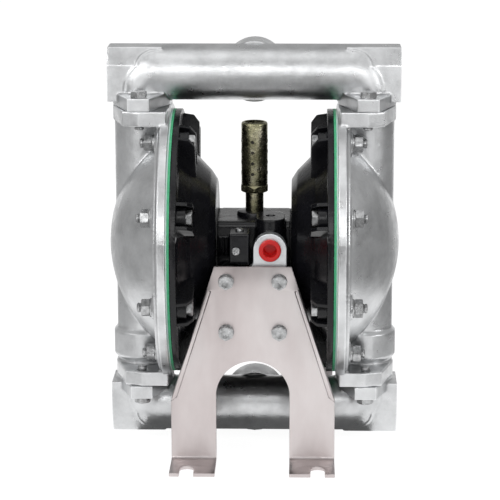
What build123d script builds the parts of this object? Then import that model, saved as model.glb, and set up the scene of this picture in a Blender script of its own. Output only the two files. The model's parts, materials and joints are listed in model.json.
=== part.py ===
from build123d import *

import os
from math import asin, cos, pi, radians, sin, sqrt

# Air operated double diaphragm pump of the 1 1/2 inch class, in millimetres.
# X runs along the pump shaft, the front with the air inlet faces -Y and Z is up.
# The origin lies on the floor under the middle of the pump.

# Layout
axis_height = 224.0  # floor to the shaft
manifold_leg = 34.8  # cap face to the axis of a manifold
leg_offset = 120.5  # centre plane to the manifold legs
cap_radius = 147.5  # outside of the fluid caps
cap_overhang = 1.7  # faces that carry the manifolds, over the round of the caps
air_rim_step = 5.0  # the air caps and diaphragms are this much smaller in radius

# Stack along the shaft, measured from the centre plane
gasket_thickness = 0.8
hub_face = 40.0  # air cap against its gasket
air_cap_face = 84.7  # air cap against the diaphragms
backup_thickness = 2.5
ptfe_thickness = 1.3
fluid_flange_thickness = 9.5
stroke = 12.0  # travel of the shaft to each side

# Manifold castings
tube_radius = 30.0
block_end_wall = 5.5  # tube of a leg to the flat end of its block
passage_radius = 24.0
block_half_width = 25.0
block_crown_half_width = 15.0
block_crown = 28.5
block_crown_end = 98.0  # how far in from the ends the crown runs
block_foot = 29.0
discharge_shoulder = 9.8
suction_shoulder = 5.0
block_round = 2.5
foot_thickness = 14.3
foot_half_width = 31.5
lug_reach = 60.0
lug_width = 23.0
lug_bolt_reach = 48.0
port_boss_radius = 33.0
port_face = 42.0
port_thread_radius = 22.4  # minor diameter of a 1 1/2 inch pipe thread
port_thread_depth = 25.0

# Fluid caps
dome_reach = 156.5
dome_edge = 10.7  # bolt circle to the foot of the dome
dome_wall = 6.0
chamber_edge = 12.0  # bolt circle to the wall of the pump chamber
chamber_straight = 4.3
cap_ring_step = 4.5
cap_ring_height = 3.5
pad_radius = 12.0
pad_height = 6.4
column_radius = 29.75
plate_thickness = 15.8
plate_setback = 3.0
plate_corner = 6.0
bulge_radius = 33.5
bulge_rise = 18.2  # lower manifold face to the bulge
bulge_height = 37.0
bulge_round = 5.0

# Ball valves
ball_radius = 21.0
ball_lift = 8.0
ball_clearance = 0.3
ball_room_radius = 25.5
guide_clearance = 0.4
guide_width = 4.0
guide_depth = 2.0  # how far a guide rib roots into the wall
guide_end_gap = 1.0
guide_rise = 8.0  # upper ribs over the axis of the manifold
stop_gap = 0.5
stop_radius = 6.0
stop_bar = 7.0
seat_radius = 28.5
seat_hole_radius = 16.0
seat_thickness = 7.0
seal_ring_thickness = 1.0
recess_clearance = 0.1

# Air caps
air_rim_thickness = 6.7
air_rim_width = 26.5
air_shoulder_radius = 95.0
air_shoulder_x = 65.0
air_waist_radius = 76.0
air_waist_x = 46.5
air_hub_radius = 66.0
air_wall = 6.0
air_lug_face = 68.0
air_lug_radius = 12.0
air_rib_width = 7.0
air_rib_face = 62.0

# Bolts that clamp both caps and the diaphragms between them
cap_bolt_edge = 18.5  # outside of the air caps to the bolt circle
cap_bolt_count = 8
bolt_radius = 5.0
bolt_clearance = 0.5
thread_clearance = 0.05
head_across_flats = 16.0
head_height = 6.4
nut_across_flats = 17.0
nut_height = 9.0
cap_washer_thickness = 2.0
thread_end = 4.5  # bolt end left standing out of its nut or plate

# Diaphragms and the plates that clamp their middle
roll_edge = 4.0  # chamber wall to the rolled fold
roll_inner = 65.0
roll_height = 10.0
diaphragm_bore_clearance = 0.3
clamp_plate_radius = 58.0
clamp_plate_thickness = 7.0
clamp_plate_dish = 3.0
shaft_radius = 10.0
running_clearance = 0.05
cap_nut_radius = 17.0
cap_nut_height = 14.0
cap_nut_chamfer = 4.5

# Centre body
body_half_depth = 40.0
body_top = 28.0
body_bottom = -92.0
body_round = 6.0
oil_boss_x = 18.0
oil_boss_y = -39.5
oil_boss_length = 51.0
oil_boss_width = 30.0
oil_boss_top = 35.0
oil_hole_y = -39.0
oil_hole_radius = 5.0
oil_hole_depth = 3.0
fin_count = 3
fin_pitch = 4.4
fin_width = 1.8
fin_depth = 9.0
fin_height = 18.0
fin_x = -37.0
fin_z = 2.0
post_radius = 11.0
post_web = 10.0
root = 4.0  # how far a post or neck starts inside the body
hub_screw_y = 30.0
hub_screw_z = 20.0
hub_screw_radius = 4.0
hub_screw_depth = 16.0
hub_screw_head_radius = 6.5
hub_screw_head_height = 8.0
hub_screw_socket = 6.0
screw_end_gap = 1.0  # left under a screw in its blind hole

# Shaft bushes and seals
bush_radius = 14.0
bush_inner_end = 16.0
bush_length = 18.0
seal_radius = 15.0

# Air distribution valve
valve_z = -42.0
sleeve_radius = 14.0
sleeve_half_length = 33.0
spool_radius = 10.0
spool_end_gap = 2.0
spool_neck_radius = 6.5
spool_travel = 6.0
sleeve_slot = 5.0
pilot_y = 24.0
pilot_z = 0.0
pilot_radius = 4.0
pilot_gap = 1.7  # left between the pin and a clamp plate at the end of its stroke
pilot_hole_clearance = 0.5

# Pilot cover at the left of the front
pilot_cover_left = -25.0
pilot_cover_width = 21.0
pilot_cover_top = 23.0
pilot_cover_height = 33.0
pilot_cover_reach = 78.0
pilot_cover_round = 2.0
front_screw_shift = 3.5
front_screw_drop = 2.0
screw_head_radius = 4.6
screw_head_height = 2.6
screw_radius = 2.5
screw_length = 12.0

# Air inlet block, its plug, and the valve cover at the back
inlet_x = 18.0
inlet_z = 7.0
inlet_boss_radius = 17.7
inlet_face = 84.0
inlet_thickness = 14.0
inlet_base = -12.5
inlet_flare = 7.0
inlet_thread_radius = 9.3
inlet_neck_inset = 1.5
inlet_passage_radius = 7.5
inlet_passage_depth = 40.0
plug_flange_radius = 11.8
plug_flange_thickness = 4.0
plug_length = 13.0
plug_hollow_radius = 6.9
plug_hollow_depth = 14.0
back_boss_radius = 14.0
back_cover_half_width = 37.0
back_cover_face = 66.0

# Muffler on top
muffler_neck_radius = 9.75
muffler_neck_depth = 14.0
muffler_neck_height = 26.0
muffler_hex_height = 7.0
muffler_hex_flats = 29.0
muffler_radius = 14.2
muffler_height = 69.0
muffler_wall = 1.0
muffler_lip = 2.6
muffler_bore = 7.0
muffler_hole_radius = 1.5
muffler_columns = 8
muffler_rows = 5
muffler_row_pitch = 11.4
muffler_first_row = 8.0
felt_wall = 4.5
felt_gap = 8.0

# Stand brackets of bent sheet, one in front and one behind
sheet = 4.0
post_face = 86.0  # centre plane to the posts that carry the brackets
bracket_top = -9.5
bracket_top_half_width = 40.8
bracket_knee = -164.0
bracket_foot_half_width = 87.0
leg_inner = 39.0
arch_spring = -147.0
arch_top = -112.0
toe_reach = 140.0
bend_radius = 7.0
rim_depth = 3.5
rim_bend = 3.5
rim_start = -36.0
slot_x = 69.0
slot_width = 15.0
slot_depth = 24.5
bracket_bolt_x = 28.0
bracket_bolt_upper = -25.0
bracket_bolt_lower = -80.0
bracket_bolt_length = 20.0
bracket_bolt_room = 2.0  # left under a bolt in its blind hole
washer_radius = 9.8
washer_thickness = 1.6

same_place = 0.01  # how near two places are taken as one

# Values that follow from the ones above
cap_half_height = cap_radius + cap_overhang  # shaft to the faces that carry the manifolds
manifold_rise = cap_half_height + manifold_leg
air_radius = cap_radius - air_rim_step
cap_bolt_circle = air_radius - cap_bolt_edge
fluid_face = air_cap_face + backup_thickness + ptfe_thickness
fluid_flange_back = fluid_face + fluid_flange_thickness
pad_face = fluid_flange_back + pad_height
nut_face = pad_face + cap_washer_thickness
bracket_reach = post_face + sheet
manifold_half_length = leg_offset + tube_radius + block_end_wall
bolt_hole_radius = bolt_radius + bolt_clearance
tapped_radius = bolt_radius + thread_clearance
recess_radius = seat_radius + recess_clearance
recess_depth = seat_thickness + seal_ring_thickness
body_half_length = hub_face - gasket_thickness
lower_seat_top = -cap_half_height - seal_ring_thickness
upper_seat_top = cap_half_height - seal_ring_thickness
ball_seating = sqrt(ball_radius**2 - seat_hole_radius**2) + ball_clearance
guide_radius = ball_radius + guide_clearance
diaphragm_bore = shaft_radius + diaphragm_bore_clearance
inner_plate_back = air_cap_face - clamp_plate_thickness
pilot_half_length = inner_plate_back - stroke - pilot_gap
spool_half_length = sleeve_half_length - spool_travel - spool_end_gap

side_view = Plane(origin=(0, 0, axis_height), x_dir=(1, 0, 0), z_dir=(0, -1, 0))
shaft_axis = Axis((0, 0, axis_height), (1, 0, 0))
leg_view = Plane(origin=(leg_offset, 0, axis_height), x_dir=(1, 0, 0), z_dir=(0, -1, 0))
leg_axis = Axis((leg_offset, 0, 0), (0, 0, 1))


def level(z):
    """Horizontal plane at a height over the shaft."""
    return Plane.XY.offset(axis_height + z)


def across(x, z=0):
    """Plane across the shaft, its own x along Y and its own y along Z."""
    return Plane(origin=(x, 0, axis_height + z), x_dir=(0, 1, 0), z_dir=(1, 0, 0))


def facing(y, z=0):
    """Upright plane that faces the front, seen with X to the right and Z up."""
    return Plane(origin=(0, y, axis_height + z), x_dir=(1, 0, 0), z_dir=(0, -1, 0))


def save(piece, name):
    """Label a finished piece and write it."""
    piece.part.label = name
    export_step(piece.part, f"parts/{name}.step")


def save_both(piece, name):
    """Write a right-hand piece and its left-hand twin."""
    save(piece, f"right_{name}")
    with BuildPart() as twin:
        mirror(piece.part, about=Plane.YZ)
    save(twin, f"left_{name}")


def bolt_places(radius, count):
    """Centres on a bolt circle, with its top midway between two of them."""
    turns = [2 * pi * (place + 0.5) / count for place in range(count)]
    return [(radius * cos(turn), radius * sin(turn)) for turn in turns]


def hex_outline(across_flats, turn=0):
    """Hexagon with the given size across flats."""
    RegularPolygon(across_flats / 2, 6, major_radius=False, rotation=turn)


def dome_middle(foot, tip):
    """Middle of the arc from a dome's foot to its tip, with its centre on the shaft."""
    height = tip[0] - foot[0]
    radius = (height**2 + foot[1] ** 2) / (2 * height)
    turn = asin(foot[1] / radius) / 2
    return (tip[0] - radius + radius * cos(turn), radius * sin(turn))


def on_plane(shapes, axis, place):
    """The shapes whose middle lies at a place along an axis."""
    return shapes.filter_by_position(axis, place - same_place, place + same_place)


os.makedirs("parts", exist_ok=True)

cap_bolts_at = bolt_places(cap_bolt_circle, cap_bolt_count)
bracket_bolts_at = [
    (x, z) for z in (bracket_bolt_upper, bracket_bolt_lower) for x in (-bracket_bolt_x, bracket_bolt_x)
]
legs_at = [(-leg_offset, 0), (leg_offset, 0)]
elbows_at = [(x, y, axis_height + manifold_rise) for x, y in legs_at]
lug_bolts_at = [(x, y) for x, _ in legs_at for y in (-lug_bolt_reach, lug_bolt_reach)]
hub_screws_at = [(y, z) for y in (-hub_screw_y, hub_screw_y) for z in (-hub_screw_z, hub_screw_z)]


def manifold_casting(shoulder, leg_bore):
    """Tube with two corner legs, bolted feet, end blocks and a port at the back."""
    with BuildPart() as casting:
        with BuildSketch(across(0, manifold_rise)):
            Circle(tube_radius)
        extrude(amount=leg_offset, both=True)
        with BuildSketch(level(cap_half_height)):
            with Locations(*legs_at):
                Circle(tube_radius)
        extrude(amount=manifold_rise - cap_half_height)
        with Locations(*elbows_at):
            Sphere(tube_radius)

        # End blocks, flat at the ends and bevelled towards their crown
        block_outline = [
            (block_crown_half_width, block_crown),
            (block_half_width, shoulder),
            (block_half_width, -block_foot),
            (-block_half_width, -block_foot),
            (-block_half_width, shoulder),
            (-block_crown_half_width, block_crown),
        ]
        crown_outline = [block_outline[0], block_outline[1], block_outline[4], block_outline[5]]
        for side in (-1, 1):
            with BuildSketch(across(side * manifold_half_length, manifold_rise)):
                Polygon(*block_outline, align=None)
            extrude(amount=-side * (manifold_half_length - leg_offset))
            with BuildSketch(across(side * leg_offset, manifold_rise)):
                Polygon(*crown_outline, align=None)
            extrude(amount=-side * (leg_offset - block_crown_end))
        end_faces = casting.faces().filter_by(Axis.X).sort_by(Axis.X)
        fillet([*end_faces[0].edges(), *end_faces[-1].edges()], block_round)

        # Bolted feet
        for x, _ in legs_at:
            with BuildSketch(level(cap_half_height)):
                with BuildSketch(Plane.XY, mode=Mode.PRIVATE) as foot:
                    with Locations((x, 0)):
                        Circle(foot_half_width)
                        Rectangle(lug_width, 2 * lug_reach)
                make_hull(foot.edges())
            extrude(amount=foot_thickness)

        # Port boss at the back
        with BuildSketch(facing(port_face, manifold_rise)):
            Circle(port_boss_radius)
        extrude(amount=port_face)

        # Passages
        with BuildSketch(across(0, manifold_rise)):
            Circle(passage_radius)
        extrude(amount=leg_offset, both=True, mode=Mode.SUBTRACT)
        with BuildSketch(level(cap_half_height)):
            with Locations(*legs_at):
                Circle(leg_bore)
        extrude(amount=manifold_rise - cap_half_height, mode=Mode.SUBTRACT)
        with Locations(*elbows_at):
            Sphere(leg_bore, mode=Mode.SUBTRACT)
        with BuildSketch(facing(port_face, manifold_rise)):
            Circle(port_thread_radius)
        extrude(amount=port_thread_depth, mode=Mode.SUBTRACT)
        with BuildSketch(level(cap_half_height)):
            with Locations(*lug_bolts_at):
                Circle(bolt_hole_radius)
        extrude(amount=foot_thickness, mode=Mode.SUBTRACT)
    return casting


def guide_ribs(x, bottom, top):
    """Four upright ribs that keep a ball in the middle of its room."""
    middle = (guide_radius + ball_room_radius + guide_depth) / 2
    with BuildPart() as ribs:
        with BuildSketch(level(bottom)):
            with Locations((x, 0)):
                with PolarLocations(middle, 4, start_angle=45):
                    Rectangle(ball_room_radius + guide_depth - guide_radius, guide_width)
        extrude(amount=top - bottom)
    return ribs.part


# Discharge manifold, with the upper balls working in its legs
discharge_casting = manifold_casting(discharge_shoulder, ball_room_radius)
upper_ball_z = upper_seat_top + ball_seating
upper_stop = upper_ball_z + ball_lift + ball_radius + stop_gap
with BuildPart() as discharge_manifold:
    add(discharge_casting.part)
    for x, _ in legs_at:
        add(guide_ribs(x, cap_half_height + guide_end_gap, manifold_rise + guide_rise))
        with BuildSketch(level(upper_stop)):
            with Locations((x, 0)):
                Circle(stop_radius)
        extrude(amount=manifold_rise + ball_room_radius + guide_depth - upper_stop)
save(discharge_manifold, "discharge_manifold")

# Suction manifold, the same form upside down, with the lower seats let into its feet
suction_casting = manifold_casting(suction_shoulder, passage_radius)
with BuildPart() as suction_manifold:
    mirror(suction_casting.part, about=level(0))
    with BuildSketch(level(-cap_half_height)):
        with Locations(*legs_at):
            Circle(recess_radius)
    extrude(amount=-recess_depth, mode=Mode.SUBTRACT)
save(suction_manifold, "suction_manifold")

# Fluid cap: flange and dome turned about the shaft, crossed by the upright column
cap_ring_outer = cap_radius - cap_ring_step
ring_top = fluid_flange_back + cap_ring_height
chamber_radius = cap_bolt_circle - chamber_edge
dome_foot = (ring_top, cap_bolt_circle - dome_edge)
dome_tip = (dome_reach, 0)
cavity_foot = (fluid_face + chamber_straight, chamber_radius)
cavity_tip = (dome_reach - dome_wall, 0)
bulge_bottom = bulge_rise - cap_half_height
lower_ball_z = lower_seat_top + ball_seating
lower_stop = lower_ball_z + ball_lift + ball_radius + stop_gap
with BuildPart() as right_fluid_cap:
    with BuildSketch(side_view):
        with BuildLine():
            Polyline(
                dome_tip,
                (fluid_face, 0),
                (fluid_face, cap_radius),
                (fluid_flange_back, cap_radius),
                (fluid_flange_back, cap_ring_outer),
                (ring_top, cap_ring_outer),
                dome_foot,
            )
            ThreePointArc(dome_foot, dome_middle(dome_foot, dome_tip), dome_tip)
        make_face()
    revolve(axis=shaft_axis)
    with BuildSketch(across(fluid_flange_back)):
        with Locations(*cap_bolts_at):
            Circle(pad_radius)
    extrude(amount=pad_height)

    # Column, its two end plates and the ball chamber bulge
    with BuildSketch(level(-cap_half_height)):
        with Locations((leg_offset, 0)):
            Circle(column_radius)
    extrude(amount=2 * cap_half_height)
    for bottom in (-cap_half_height, cap_half_height - plate_thickness):
        with BuildSketch(level(bottom)):
            with BuildSketch(Plane.XY, mode=Mode.PRIVATE) as plate:
                with Locations((leg_offset, 0)):
                    Circle(foot_half_width)
                    Rectangle(lug_width + 2 * plate_corner, 2 * (lug_reach - plate_corner))
                with Locations(((leg_offset + fluid_face + plate_setback) / 2, 0)):
                    Rectangle(leg_offset - fluid_face - plate_setback, 2 * lug_reach)
            make_hull(plate.edges())
        extrude(amount=plate_thickness)
    with BuildSketch(leg_view):
        with BuildLine():
            Polyline(
                (0, bulge_bottom),
                (bulge_radius - bulge_round, bulge_bottom),
                (bulge_radius, bulge_bottom + bulge_round),
                (bulge_radius, bulge_bottom + bulge_height - bulge_round),
                (bulge_radius - bulge_round, bulge_bottom + bulge_height),
                (0, bulge_bottom + bulge_height),
                close=True,
            )
        make_face()
    revolve(axis=leg_axis)
    with BuildSketch(across(fluid_face)):
        Circle(cap_radius)
    extrude(amount=bulge_radius + fluid_face - leg_offset, dir=(-1, 0, 0), mode=Mode.SUBTRACT)

    # Pump chamber and the passages to it
    with BuildSketch(side_view):
        with BuildLine():
            Polyline(cavity_tip, (fluid_face, 0), (fluid_face, chamber_radius), cavity_foot)
            ThreePointArc(cavity_foot, dome_middle(cavity_foot, cavity_tip), cavity_tip)
        make_face()
    revolve(axis=shaft_axis, mode=Mode.SUBTRACT)
    with BuildSketch(level(0)):
        with Locations((leg_offset, 0)):
            Circle(passage_radius)
    extrude(amount=cap_half_height, both=True, mode=Mode.SUBTRACT)
    with BuildSketch(level(-cap_half_height)):
        with Locations((leg_offset, 0)):
            Circle(ball_room_radius)
    extrude(amount=cap_half_height + lower_stop, mode=Mode.SUBTRACT)
    with BuildSketch(level(cap_half_height)):
        with Locations((leg_offset, 0)):
            Circle(recess_radius)
    extrude(amount=-recess_depth, mode=Mode.SUBTRACT)

    # Ball guides and stop bar
    add(guide_ribs(leg_offset, guide_end_gap - cap_half_height, lower_stop))
    with BuildSketch(level(lower_stop)):
        with Locations((leg_offset, 0)):
            Rectangle(stop_bar, 2 * (passage_radius + guide_depth))
    extrude(amount=stop_bar)

    # Bolt holes: clear through the flange, tapped in the end plates
    with BuildSketch(across(fluid_face)):
        with Locations(*cap_bolts_at):
            Circle(bolt_hole_radius)
    extrude(amount=pad_face - fluid_face, mode=Mode.SUBTRACT)
    for bottom in (-cap_half_height, cap_half_height - plate_thickness):
        with BuildSketch(level(bottom)):
            with Locations((leg_offset, -lug_bolt_reach), (leg_offset, lug_bolt_reach)):
                Circle(tapped_radius)
        extrude(amount=plate_thickness, mode=Mode.SUBTRACT)
save_both(right_fluid_cap, "fluid_cap")

# Ball seats and balls, and the flat seal rings on the seats
places = [
    ("upper_left", -leg_offset, upper_seat_top, upper_ball_z),
    ("upper_right", leg_offset, upper_seat_top, upper_ball_z),
    ("lower_left", -leg_offset, lower_seat_top, lower_ball_z),
    ("lower_right", leg_offset, lower_seat_top, lower_ball_z),
]
for name, x, seat_top, ball_z in places:
    with BuildPart() as ball_seat:
        with BuildSketch(level(seat_top)):
            with Locations((x, 0)):
                Circle(seat_radius)
                Circle(seat_hole_radius, mode=Mode.SUBTRACT)
        extrude(amount=-seat_thickness)
    save(ball_seat, f"{name}_ball_seat")
    with BuildPart() as ball:
        with Locations((x, 0, axis_height + ball_z)):
            Sphere(ball_radius)
    save(ball, f"{name}_ball")

with BuildPart() as seat_seal_rings:
    for seat_top in (lower_seat_top, upper_seat_top):
        with BuildSketch(level(seat_top)):
            with Locations(*legs_at):
                Circle(seat_radius)
                Circle(ball_room_radius, mode=Mode.SUBTRACT)
        extrude(amount=seal_ring_thickness)
save(seat_seal_rings, "seat_seal_rings")

# Air cap: a bowl turned about the shaft, with eight bolt lugs and their ribs
rim_back = air_cap_face - air_rim_thickness
air_rim_inner = air_radius - air_rim_width
with BuildPart() as right_air_cap:
    with BuildSketch(side_view):
        with BuildLine():
            Polyline(
                (hub_face, 0),
                (hub_face, air_hub_radius),
                (air_waist_x, air_waist_radius),
                (air_shoulder_x, air_shoulder_radius),
                (rim_back, air_rim_inner),
                (rim_back, air_radius),
                (air_cap_face, air_radius),
                (air_cap_face, 0),
                close=True,
            )
        make_face()
    revolve(axis=shaft_axis)
    with BuildSketch(across(air_lug_face)):
        with Locations(*cap_bolts_at):
            Circle(air_lug_radius)
        for x, y in cap_bolts_at:
            inward = air_shoulder_radius / cap_bolt_circle
            with BuildLine():
                lug_middle = Line((x, y), (x * inward, y * inward))
            trace(lug_middle, 2 * air_lug_radius)
    extrude(amount=rim_back - air_lug_face)
    with BuildSketch(across(air_rib_face)):
        for x, y in cap_bolts_at:
            outer = (cap_bolt_circle - air_lug_radius) / cap_bolt_circle
            inner = air_waist_radius / cap_bolt_circle
            with BuildLine():
                rib = Line((x * outer, y * outer), (x * inner, y * inner))
            trace(rib, air_rib_width)
    extrude(amount=rim_back - air_rib_face)
    with BuildSketch(side_view):
        with BuildLine():
            Polyline(
                (hub_face + air_wall, 0),
                (hub_face + air_wall, air_hub_radius - air_wall / 2),
                (air_waist_x + air_wall, air_waist_radius - air_wall / 2),
                (air_shoulder_x + air_wall, air_shoulder_radius - air_wall / 2),
                (air_cap_face, chamber_radius),
                (air_cap_face, 0),
                close=True,
            )
        make_face()
    revolve(axis=shaft_axis, mode=Mode.SUBTRACT)
    with BuildSketch(across(hub_face)):
        Circle(shaft_radius + pilot_hole_clearance)
        with Locations((pilot_y, pilot_z)):
            Circle(pilot_radius + pilot_hole_clearance)
        with Locations(*hub_screws_at):
            Circle(hub_screw_radius + bolt_clearance)
    extrude(amount=air_wall, mode=Mode.SUBTRACT)
    with BuildSketch(across(air_lug_face)):
        with Locations(*cap_bolts_at):
            Circle(bolt_hole_radius)
    extrude(amount=air_cap_face - air_lug_face, mode=Mode.SUBTRACT)
save_both(right_air_cap, "air_cap")


roll_outer = chamber_radius - roll_edge


def diaphragm(near_face, thickness):
    """Ring clamped at rim and middle, with a rolled fold between them."""
    far_face = near_face + thickness
    middle = (roll_outer + roll_inner) / 2
    with BuildPart() as sheet_part:
        with BuildSketch(side_view):
            with BuildLine():
                Polyline(
                    (near_face, roll_outer),
                    (near_face, air_radius),
                    (far_face, air_radius),
                    (far_face, roll_outer),
                )
                ThreePointArc(
                    (far_face, roll_outer),
                    (far_face + roll_height, middle),
                    (far_face, roll_inner),
                )
                Polyline(
                    (far_face, roll_inner),
                    (far_face, diaphragm_bore),
                    (near_face, diaphragm_bore),
                    (near_face, roll_inner),
                )
                ThreePointArc(
                    (near_face, roll_inner),
                    (near_face + roll_height, middle),
                    (near_face, roll_outer),
                )
            make_face()
        revolve(axis=shaft_axis)
        with BuildSketch(across(near_face)):
            with Locations(*cap_bolts_at):
                Circle(bolt_hole_radius)
        extrude(amount=thickness, mode=Mode.SUBTRACT)
    return sheet_part


save_both(diaphragm(air_cap_face, backup_thickness), "backup_diaphragm")
save_both(diaphragm(air_cap_face + backup_thickness, ptfe_thickness), "ptfe_diaphragm")

# Shaft with shouldered ends, clamp plates and cap nuts
with BuildPart() as connecting_shaft:
    with BuildSketch(across(0)):
        Circle(shaft_radius)
    extrude(amount=fluid_face + clamp_plate_thickness, both=True)
save(connecting_shaft, "connecting_shaft")

with BuildPart() as right_inner_plate:
    with BuildSketch(side_view):
        with BuildLine():
            Polyline(
                (inner_plate_back, shaft_radius),
                (inner_plate_back, clamp_plate_radius / 2),
                (air_cap_face - clamp_plate_dish, clamp_plate_radius),
                (air_cap_face, clamp_plate_radius),
                (air_cap_face, shaft_radius),
                close=True,
            )
        make_face()
    revolve(axis=shaft_axis)
save_both(right_inner_plate, "inner_plate")

outer_plate_face = fluid_face + clamp_plate_thickness
with BuildPart() as right_outer_plate:
    with BuildSketch(side_view):
        with BuildLine():
            Polyline(
                (fluid_face, shaft_radius),
                (fluid_face, clamp_plate_radius),
                (fluid_face + clamp_plate_dish, clamp_plate_radius),
                (outer_plate_face, clamp_plate_radius / 2),
                (outer_plate_face, shaft_radius),
                close=True,
            )
        make_face()
    revolve(axis=shaft_axis)
save_both(right_outer_plate, "outer_plate")

with BuildPart() as right_plate_nut:
    with BuildSketch(across(outer_plate_face)):
        Circle(cap_nut_radius)
    extrude(amount=cap_nut_height)
    chamfer(right_plate_nut.edges().sort_by(Axis.X)[-1], cap_nut_chamfer)
save_both(right_plate_nut, "plate_nut")


def inlet_form(near, far, inset):
    """Arch with one flared foot, between two distances in front of the shaft."""
    side = inlet_boss_radius - inset
    base = inlet_base + inset
    with BuildPart() as form:
        with BuildSketch(facing(-near)):
            with BuildLine():
                Polyline(
                    (inlet_x + side, inlet_z),
                    (inlet_x + side, base),
                    (inlet_x - side - inlet_flare, base),
                )
                RadiusArc(
                    (inlet_x - side - inlet_flare, base),
                    (inlet_x - side, base + inlet_flare),
                    -inlet_flare,
                )
                Line((inlet_x - side, base + inlet_flare), (inlet_x - side, inlet_z))
                ThreePointArc(
                    (inlet_x - side, inlet_z),
                    (inlet_x, inlet_z + side),
                    (inlet_x + side, inlet_z),
                )
            make_face()
        extrude(amount=far - near)
    return form.part


# Centre body between the air caps, with the neck of the air inlet and posts for the brackets
inlet_back = inlet_face - inlet_thickness
with BuildPart() as centre_body:
    with BuildSketch(across(0)):
        with Locations((0, (body_top + body_bottom) / 2)):
            RectangleRounded(2 * body_half_depth, body_top - body_bottom, body_round)
    extrude(amount=body_half_length, both=True)
    add(inlet_form(body_half_depth - root, inlet_back, inlet_neck_inset))
    with BuildSketch(level(inlet_z)):
        with Locations((oil_boss_x, oil_boss_y)):
            SlotOverall(oil_boss_length, oil_boss_width, rotation=90)
    extrude(amount=oil_boss_top - inlet_z)
    with BuildSketch(facing(-body_half_depth)):
        with Locations((fin_x + fin_pitch * (fin_count - 1) / 2, fin_z)):
            with GridLocations(fin_pitch, 1, fin_count, 1):
                Rectangle(fin_width, fin_height)
    extrude(amount=fin_depth)
    for side in (-1, 1):
        with BuildSketch(facing(side * post_face)):
            with Locations(*bracket_bolts_at):
                Circle(post_radius)
            for x in (-bracket_bolt_x, bracket_bolt_x):
                with Locations((x, (bracket_bolt_upper + bracket_bolt_lower) / 2)):
                    Rectangle(post_web, bracket_bolt_upper - bracket_bolt_lower)
        extrude(amount=side * (post_face - body_half_depth + root))

    # Bores: shaft, bushes, seals, valve sleeve, pilot pin, exhaust port and air inlet
    with BuildSketch(across(0)):
        Circle(shaft_radius + pilot_hole_clearance)
        with Locations((pilot_y, pilot_z)):
            Circle(pilot_radius + running_clearance)
        with Locations((0, valve_z)):
            Circle(sleeve_radius)
    extrude(amount=body_half_length, both=True, mode=Mode.SUBTRACT)
    for side in (-1, 1):
        with BuildSketch(across(side * bush_inner_end)):
            Circle(bush_radius)
        extrude(amount=side * bush_length, mode=Mode.SUBTRACT)
        with BuildSketch(across(side * (bush_inner_end + bush_length))):
            Circle(seal_radius)
        extrude(amount=side * (body_half_length - bush_inner_end - bush_length), mode=Mode.SUBTRACT)
    with BuildSketch(level(body_top)):
        Circle(muffler_neck_radius + thread_clearance)
    extrude(amount=-muffler_neck_depth, mode=Mode.SUBTRACT)
    with BuildSketch(level(oil_boss_top)):
        with Locations((oil_boss_x, oil_hole_y)):
            Circle(oil_hole_radius)
    extrude(amount=-oil_hole_depth, mode=Mode.SUBTRACT)
    with BuildSketch(facing(-inlet_back)):
        with Locations((inlet_x, inlet_z)):
            Circle(inlet_passage_radius)
    extrude(amount=-inlet_passage_depth, mode=Mode.SUBTRACT)
    for side in (-1, 1):
        with BuildSketch(facing(side * post_face)):
            with Locations(*bracket_bolts_at):
                Circle(tapped_radius)
        extrude(amount=side * (bracket_bolt_length + bracket_bolt_room), mode=Mode.SUBTRACT)
        with BuildSketch(across(side * body_half_length)):
            with Locations(*hub_screws_at):
                Circle(hub_screw_radius + thread_clearance)
        extrude(amount=-side * hub_screw_depth, mode=Mode.SUBTRACT)
save(centre_body, "centre_body")

with BuildPart() as right_hub_gasket:
    with BuildSketch(across(body_half_length)):
        with Locations((0, (body_top + body_bottom) / 2)):
            RectangleRounded(2 * body_half_depth, body_top - body_bottom, body_round)
        Circle(air_hub_radius, mode=Mode.INTERSECT)
        Circle(seal_radius, mode=Mode.SUBTRACT)
        with Locations((pilot_y, pilot_z)):
            Circle(pilot_radius + pilot_hole_clearance, mode=Mode.SUBTRACT)
        with Locations(*hub_screws_at):
            Circle(hub_screw_radius + bolt_clearance, mode=Mode.SUBTRACT)
    extrude(amount=gasket_thickness)
save_both(right_hub_gasket, "hub_gasket")

# Socket screws that hold each air cap on the centre body, from inside the air chamber
screw_seat = hub_face + air_wall
with BuildPart() as right_hub_screws:
    with BuildSketch(across(screw_seat)):
        with Locations(*hub_screws_at):
            Circle(hub_screw_head_radius)
    extrude(amount=hub_screw_head_height)
    with BuildSketch(across(screw_seat)):
        with Locations(*hub_screws_at):
            Circle(hub_screw_radius)
    extrude(amount=body_half_length - hub_screw_depth + screw_end_gap - screw_seat)
    with BuildSketch(across(screw_seat + hub_screw_head_height)):
        with Locations(*hub_screws_at):
            hex_outline(hub_screw_socket)
    extrude(amount=-hub_screw_head_height / 2, mode=Mode.SUBTRACT)
with BuildPart() as hub_screws:
    add(right_hub_screws.part)
    mirror(right_hub_screws.part, about=Plane.YZ)
save(hub_screws, "hub_screws")

with BuildPart() as right_shaft_bush:
    with BuildSketch(across(bush_inner_end)):
        Circle(bush_radius)
        Circle(shaft_radius + running_clearance, mode=Mode.SUBTRACT)
    extrude(amount=bush_length)
save_both(right_shaft_bush, "shaft_bush")

with BuildPart() as right_shaft_seal:
    with BuildSketch(across(bush_inner_end + bush_length)):
        Circle(seal_radius)
        Circle(shaft_radius + running_clearance, mode=Mode.SUBTRACT)
    extrude(amount=hub_face - bush_inner_end - bush_length)
save_both(right_shaft_seal, "shaft_seal")

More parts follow.
